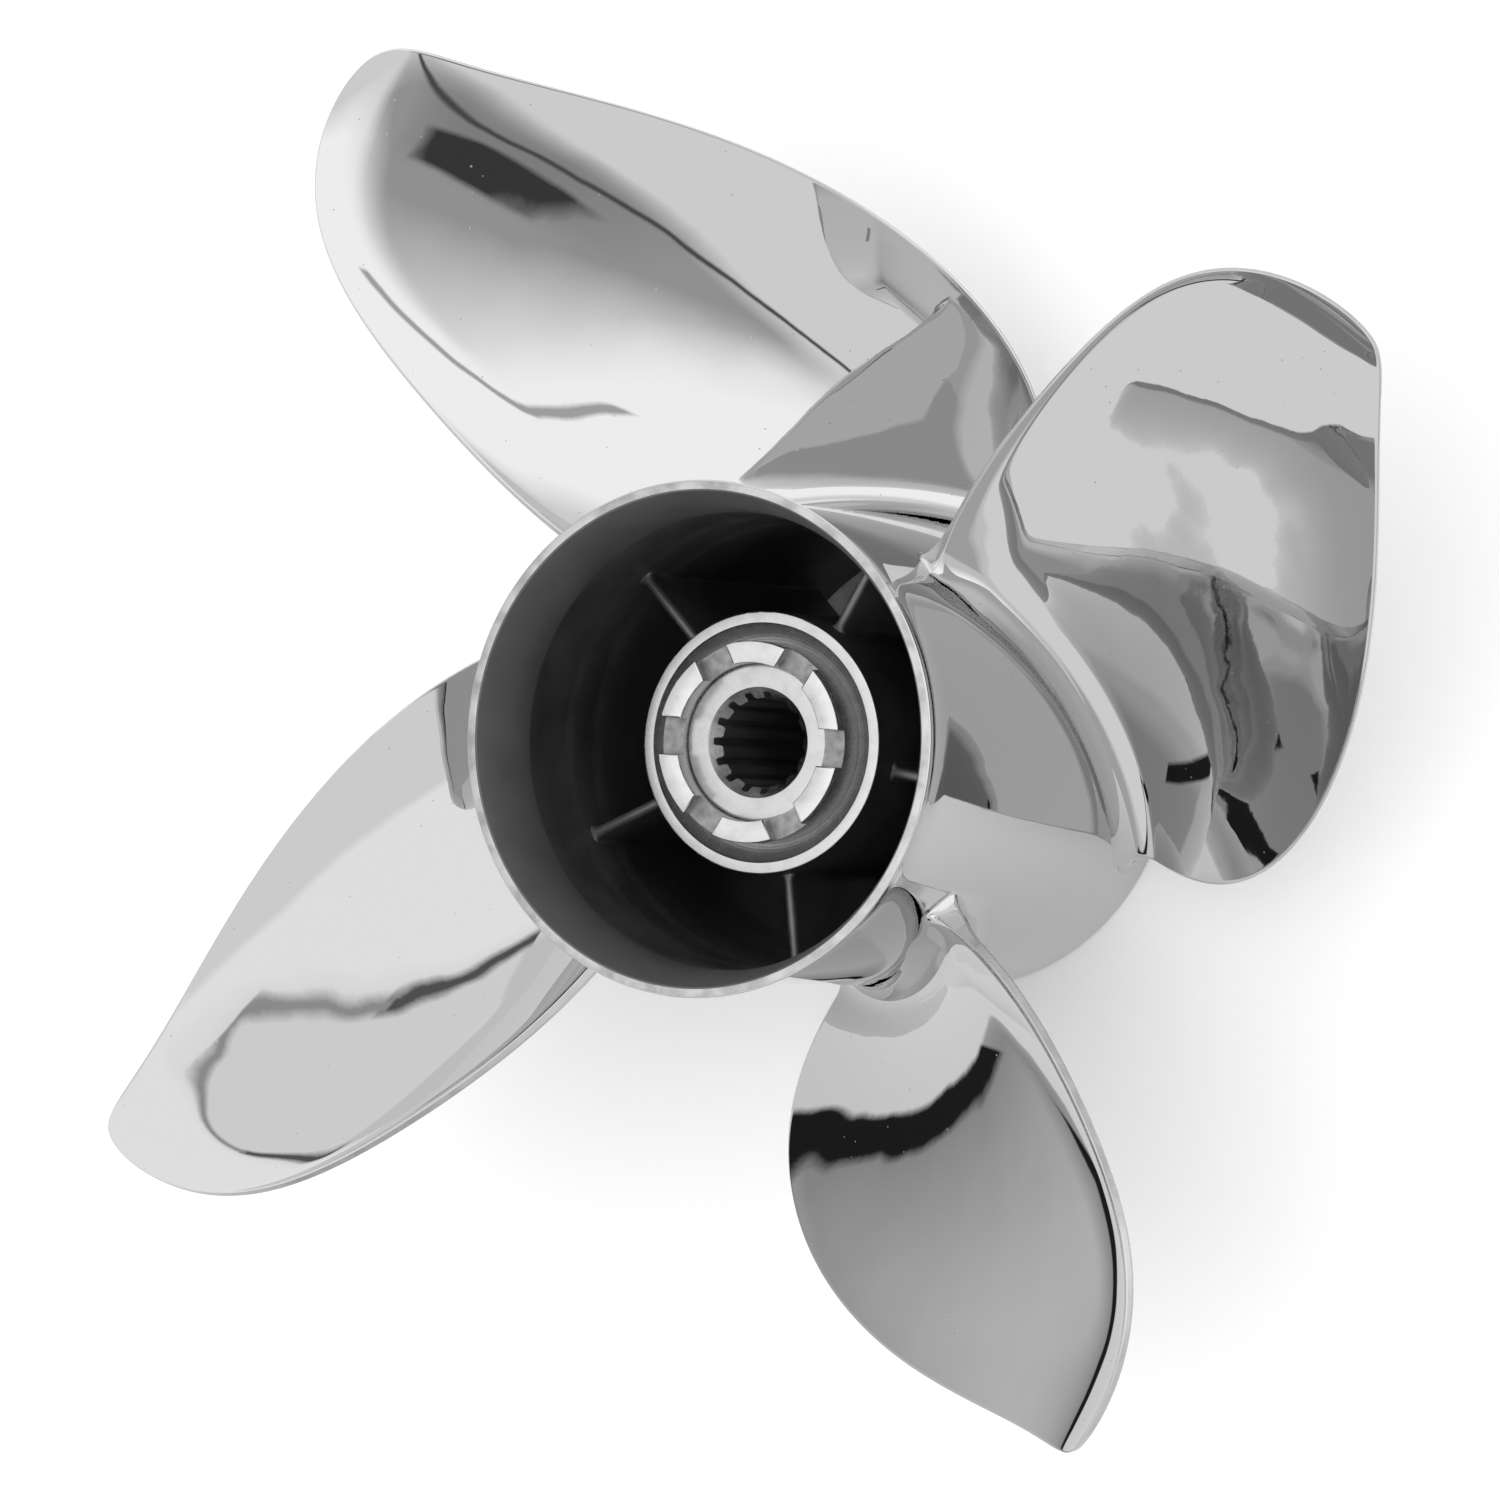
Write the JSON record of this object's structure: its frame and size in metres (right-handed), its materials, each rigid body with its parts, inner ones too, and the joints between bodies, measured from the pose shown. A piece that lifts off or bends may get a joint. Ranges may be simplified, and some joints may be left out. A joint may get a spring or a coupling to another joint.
{
  "type": "outboard motor propeller",
  "caption": "Right-hand boat propeller in polished stainless steel, with a through-hub exhaust barrel and a rubber-bushed splined sleeve.",
  "frame": {"origin": "centre of the barrel's forward rim, on the shaft's axis", "axes": "+Z along the shaft's axis towards the aft end, where the exhaust leaves; +Y towards the middle of blade_1's root"},
  "size_m": [0.3398, 0.3398, 0.135],
  "materials": {
    "polished_steel": "polished",
    "machined_steel": "satin",
    "cast_steel": "matte",
    "black_rubber": "matte"
  },
  "bodies": {
    "root": {"barrel": "polished_steel", "blade_1": "polished_steel", "blade_2": "polished_steel", "blade_3": "polished_steel", "blade_4": "polished_steel", "inner_hub_tube": "machined_steel", "rib_1": "cast_steel", "rib_2": "cast_steel", "rib_3": "cast_steel", "rib_4": "cast_steel", "rib_5": "cast_steel", "notched_collar": "machined_steel", "rubber_bush": "black_rubber", "splined_sleeve": "machined_steel"}
  },
  "joints": []
}
